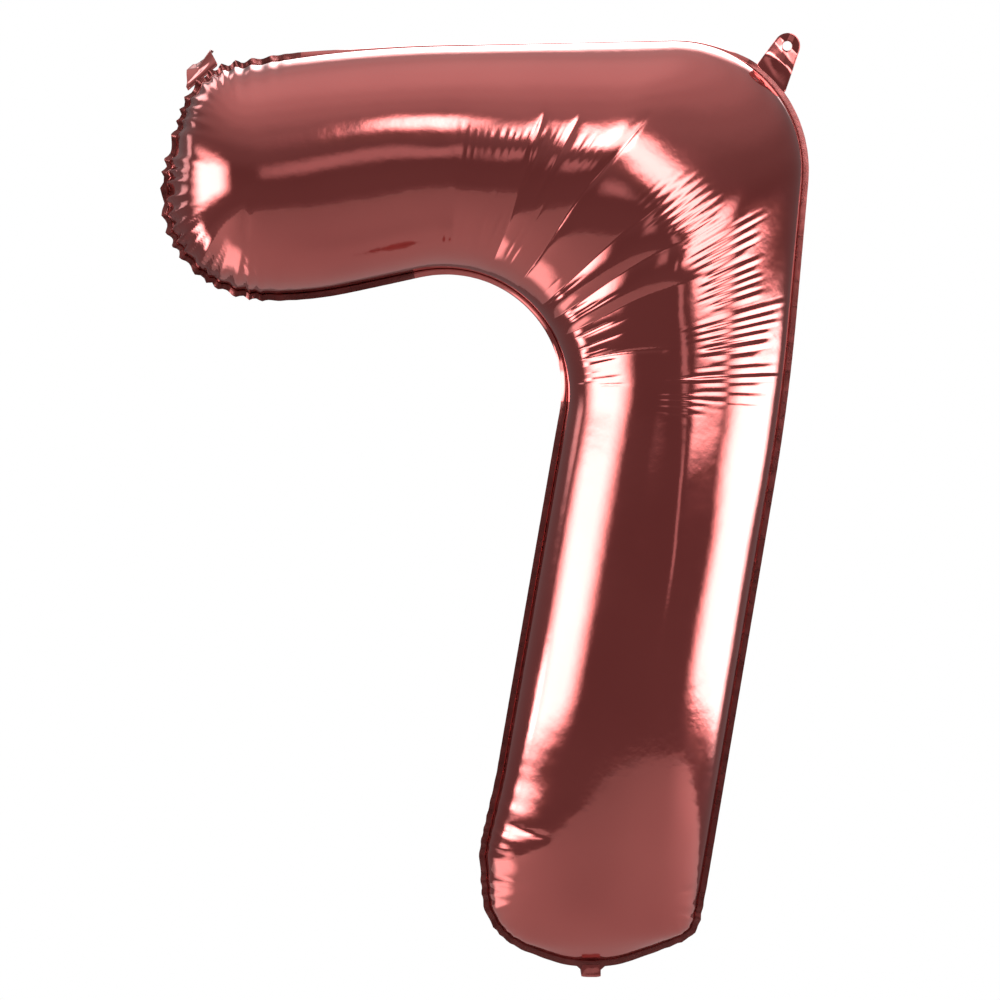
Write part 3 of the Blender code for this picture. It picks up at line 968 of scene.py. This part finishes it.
def floor_paint():
    """Pale to the camera, and darker where the balloon mirrors it."""
    made, nodes, links, shader = new_material("studio_floor")
    shader.inputs["Roughness"].default_value = 0.7
    path = nodes.new("ShaderNodeLightPath")
    mix = nodes.new("ShaderNodeMix")
    mix.data_type = "RGBA"
    mix.inputs["A"].default_value = (0.36, 0.35, 0.34, 1)
    pale = colours(nodes, links, noise(nodes, links, 3.0), (0.80, 0.79, 0.78, 1), (0.84, 0.83, 0.82, 1))
    links.new(pale, mix.inputs["B"])
    links.new(path.outputs["Is Camera Ray"], mix.inputs["Factor"])
    links.new(mix.outputs["Result"], shader.inputs["Base Color"])
    return made


# Studio ---------------------------------------------------------------------------------------


def studio_floor():
    bpy.ops.mesh.primitive_cylinder_add(
        vertices=128, radius=FLOOR_RADIUS, depth=0.02, location=(0, 0, FLOOR_LEVEL - 0.01)
    )
    floor = bpy.context.object
    floor.name = "studio_floor"
    floor.data.materials.append(floor_paint())


def soft_box(name, way, size, radiance, soft, aim, distance, roll):
    """A soft light seen from aim at way: azimuth, 0 towards the camera and 90 to its right, and elevation.

    size and soft are (width, height): soft is the share of each that fades away towards the edges.
    """
    a, e = radians(way[0]), radians(way[1])
    towards = Vector((sin(a) * cos(e), -cos(a) * cos(e), sin(e)))
    light = bpy.data.lights.new(name, "AREA")
    light.shape = "RECTANGLE"
    light.size, light.size_y = size
    light.energy = radiance * size[0] * size[1] * pi
    fade_out(light, soft)
    lamp = bpy.data.objects.new(name, light)
    lamp.location = Vector(aim) + towards * distance
    turn = towards.to_track_quat("Z", "Y") @ Quaternion((0.0, 0.0, 1.0), radians(roll))
    lamp.rotation_euler = turn.to_euler()
    lamp.visible_camera = False
    bpy.context.scene.collection.objects.link(lamp)


def fade_out(light, soft):
    """Makes the light weaker towards its edges, as a soft box is."""
    light.use_nodes = True
    nodes, links = light.node_tree.nodes, light.node_tree.links
    place = nodes.new("ShaderNodeNewGeometry")
    split = nodes.new("ShaderNodeSeparateXYZ")
    links.new(place.outputs["Parametric"], split.inputs["Vector"])
    strength = None
    for axis, share in zip(("X", "Y"), soft):
        centred = nodes.new("ShaderNodeMath")
        centred.operation = "SUBTRACT"
        centred.inputs[1].default_value = 0.5
        links.new(split.outputs[axis], centred.inputs[0])
        away = nodes.new("ShaderNodeMath")
        away.operation = "ABSOLUTE"
        links.new(centred.outputs[0], away.inputs[0])
        fade = nodes.new("ShaderNodeMapRange")
        fade.interpolation_type = "SMOOTHSTEP"
        fade.inputs["From Min"].default_value = 0.5
        fade.inputs["From Max"].default_value = 0.5 - share / 2
        links.new(away.outputs[0], fade.inputs["Value"])
        if strength is None:
            strength = fade.outputs["Result"]
            continue
        both = nodes.new("ShaderNodeMath")
        both.operation = "MULTIPLY"
        links.new(strength, both.inputs[0])
        links.new(fade.outputs["Result"], both.inputs[1])
        strength = both.outputs[0]
    links.new(strength, nodes["Emission"].inputs["Strength"])


# The studio's tone by height of the direction looked in: straight down is 0, straight up is 1
WORLD_TONES = (
    (0.00, (0.45, 0.43, 0.43, 1)),
    (0.06, (0.44, 0.42, 0.42, 1)),
    (0.17, (0.26, 0.23, 0.23, 1)),
    (0.28, (0.18, 0.14, 0.14, 1)),
    (0.52, (0.165, 0.125, 0.125, 1)),
    (0.66, (0.21, 0.18, 0.18, 1)),
    (0.79, (0.34, 0.32, 0.32, 1)),
    (0.89, (0.49, 0.47, 0.47, 1)),
    (0.95, (0.60, 0.59, 0.59, 1)),
    (1.00, (0.76, 0.78, 0.78, 1)),
)


def studio_world():
    """White for the camera; for reflections dark at eye level, lighter below and bright above."""
    world = bpy.data.worlds.new("studio")
    world.use_nodes = True
    bpy.context.scene.world = world
    nodes, links = world.node_tree.nodes, world.node_tree.links
    nodes.clear()
    out = nodes.new("ShaderNodeOutputWorld")
    shown = nodes.new("ShaderNodeBackground")
    shown.inputs["Color"].default_value = (1.0, 1.0, 1.0, 1)
    around = nodes.new("ShaderNodeBackground")
    place = nodes.new("ShaderNodeTexCoord")
    split = nodes.new("ShaderNodeSeparateXYZ")
    links.new(place.outputs["Generated"], split.inputs["Vector"])
    height = nodes.new("ShaderNodeMapRange")
    height.inputs["From Min"].default_value = -1.0
    links.new(split.outputs["Z"], height.inputs["Value"])
    ramp = nodes.new("ShaderNodeValToRGB")
    stops = ramp.color_ramp.elements
    ramp.color_ramp.interpolation = "EASE"
    while len(stops) < len(WORLD_TONES):
        stops.new(0.5)
    for stop, (at, _) in zip(stops, WORLD_TONES):
        stop.position = at
    for stop, (_, tone) in zip(stops, WORLD_TONES):
        stop.color = tone
    links.new(height.outputs["Result"], ramp.inputs["Fac"])
    links.new(ramp.outputs["Color"], around.inputs["Color"])
    path = nodes.new("ShaderNodeLightPath")
    mix = nodes.new("ShaderNodeMixShader")
    links.new(path.outputs["Is Camera Ray"], mix.inputs["Fac"])
    links.new(around.outputs[0], mix.inputs[1])
    links.new(shown.outputs[0], mix.inputs[2])
    links.new(mix.outputs[0], out.inputs["Surface"])


def camera():
    lens = bpy.data.cameras.new("camera")
    lens.sensor_width = SENSOR_WIDTH
    lens.lens = SENSOR_WIDTH * CAMERA_DISTANCE / FRAME_WIDTH
    made = bpy.data.objects.new("camera", lens)
    made.location = (CAMERA_X, -CAMERA_DISTANCE, CAMERA_HEIGHT)
    made.rotation_euler = (pi / 2, 0.0, 0.0)
    bpy.context.scene.collection.objects.link(made)
    bpy.context.scene.camera = made


# Where the lights are aimed: the figure's middle, and the places on it that single lights serve
MIDDLE = (0.0, 0.0, -0.40)
BEND = (0.08, 0.0, -0.12)
UPPER_LEG = (0.19, -0.09, -0.27)
LEG = (0.17, -0.09, -0.42)
ARM = (-0.15, 0.0, -0.1)
LOW_ARM_END = (-0.28, 0.0, -0.17)
ARM_END = (-0.28, 0.0, -0.13)
LEFT_CORNER = (-0.27, 0.0, 0.0)
NOTCH_EDGE = (0.05, 0.0, -0.20)

# Each light: name, its azimuth and elevation seen from what it is aimed at, size, radiance, how much
# of its width and height fades away, what it is aimed at, the distance from there, roll
LIGHTS = (
    ("left_box", (-78, 4.7), (3.1, 1.20), 5.5, (0.75, 0.62), MIDDLE, 2.2, 0),
    ("right_box", (95, -8.4), (3.0, 0.94), 5.5, (0.6, 0.32), MIDDLE, 2.2, 0),
    ("front_box", (0, 31), (0.80, 0.60), 6.0, (0.7, 0.8), BEND, 2.0, 0),
    ("ridge_box", (23, 17), (2.15, 0.62), 4.5, (0.4, 0.8), BEND, 2.0, -34),
    ("near_right_box", (50, 3), (0.60, 0.46), 4.5, (0.7, 0.8), UPPER_LEG, 1.0, 0),
    ("arm_glow", (0, 3), (0.9, 0.6), 0.38, (0.8, 0.8), ARM, 2.0, 0),
    ("leg_glow", (25, -2), (0.35, 0.6), 0.45, (0.8, 0.7), LEG, 2.0, 0),
    ("top_box", (170, 40), (2.0, 1.8), 5.0, (0.5, 0.8), MIDDLE, 2.2, 0),
    ("low_left_box", (-108, -26), (0.3, 0.3), 5.0, (0.8, 0.8), LOW_ARM_END, 0.8, 0),
    ("end_glow", (-126, 9), (0.5, 0.7), 1.0, (0.7, 0.7), ARM_END, 1.6, 0),
    ("tab_box", (-142, 36), (1.0, 0.8), 2.0, (0.7, 0.7), LEFT_CORNER, 1.6, 0),
    ("arc_box", (-98, -45), (0.8, 0.5), 1.3, (0.6, 0.6), NOTCH_EDGE, 1.1, 0),
)


def studio():
    studio_world()
    studio_floor()
    camera()
    for light in LIGHTS:
        soft_box(*light)
    bpy.context.scene.view_settings.view_transform = "Standard"


def tabs(foil):
    """Both hanging tabs. Each bends at its root, between the balloon and the tab's own body."""
    for name, side, frame_of, seed, slope in (
        ("hanging_tab_left", 1, LEFT_TAB, 31, 0.34),
        ("hanging_tab_right", -1, RIGHT_TAB, 33, 0.20),
    ):
        piece = tab(name + "_film", frame_of, side, seed, slope, foil)
        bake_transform(piece)
        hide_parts(name)


def tail(foil, weld):
    """The inflation tail, which runs up into the neck and bends at the fold."""
    for piece, node, finish in (
        (tail_layer("tail_front_film", -1, foil), "tail_front_layer", "rose_foil"),
        (tail_layer("tail_rear_film", 1, foil), "tail_rear_layer", "rose_foil"),
        (tail_weld("tail_weld", weld), "tail_edge_seal", "welded_seam"),
    ):
        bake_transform(piece)
        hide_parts(node)


def main():
    studio()
    # The weld material's dark colour is painted shade
    foil, weld, clear = rose_foil(), weld_with_painted_shade(), clear_film()
    rim = Rim()
    front, rear = Film(-1, rim), Film(1, rim)
    for piece, node, finish in (
        (film_panel("front_film", front, foil, weld), "front_foil_panel", "rose_foil"),
        (film_panel("rear_film", rear, foil, weld), "rear_foil_panel", "rose_foil"),
        (weld_band(front, weld), "perimeter_heat_seal", "welded_seam"),
    ):
        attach(piece, "balloon")
        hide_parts(node)
    tabs(foil)
    tail(foil, weld)
    for name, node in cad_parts.items():
        look = clear if "valve" in name else weld if "seal" in name else foil
        for k in range(len(node.material_slots)):
            node.material_slots[k].material = look


main()
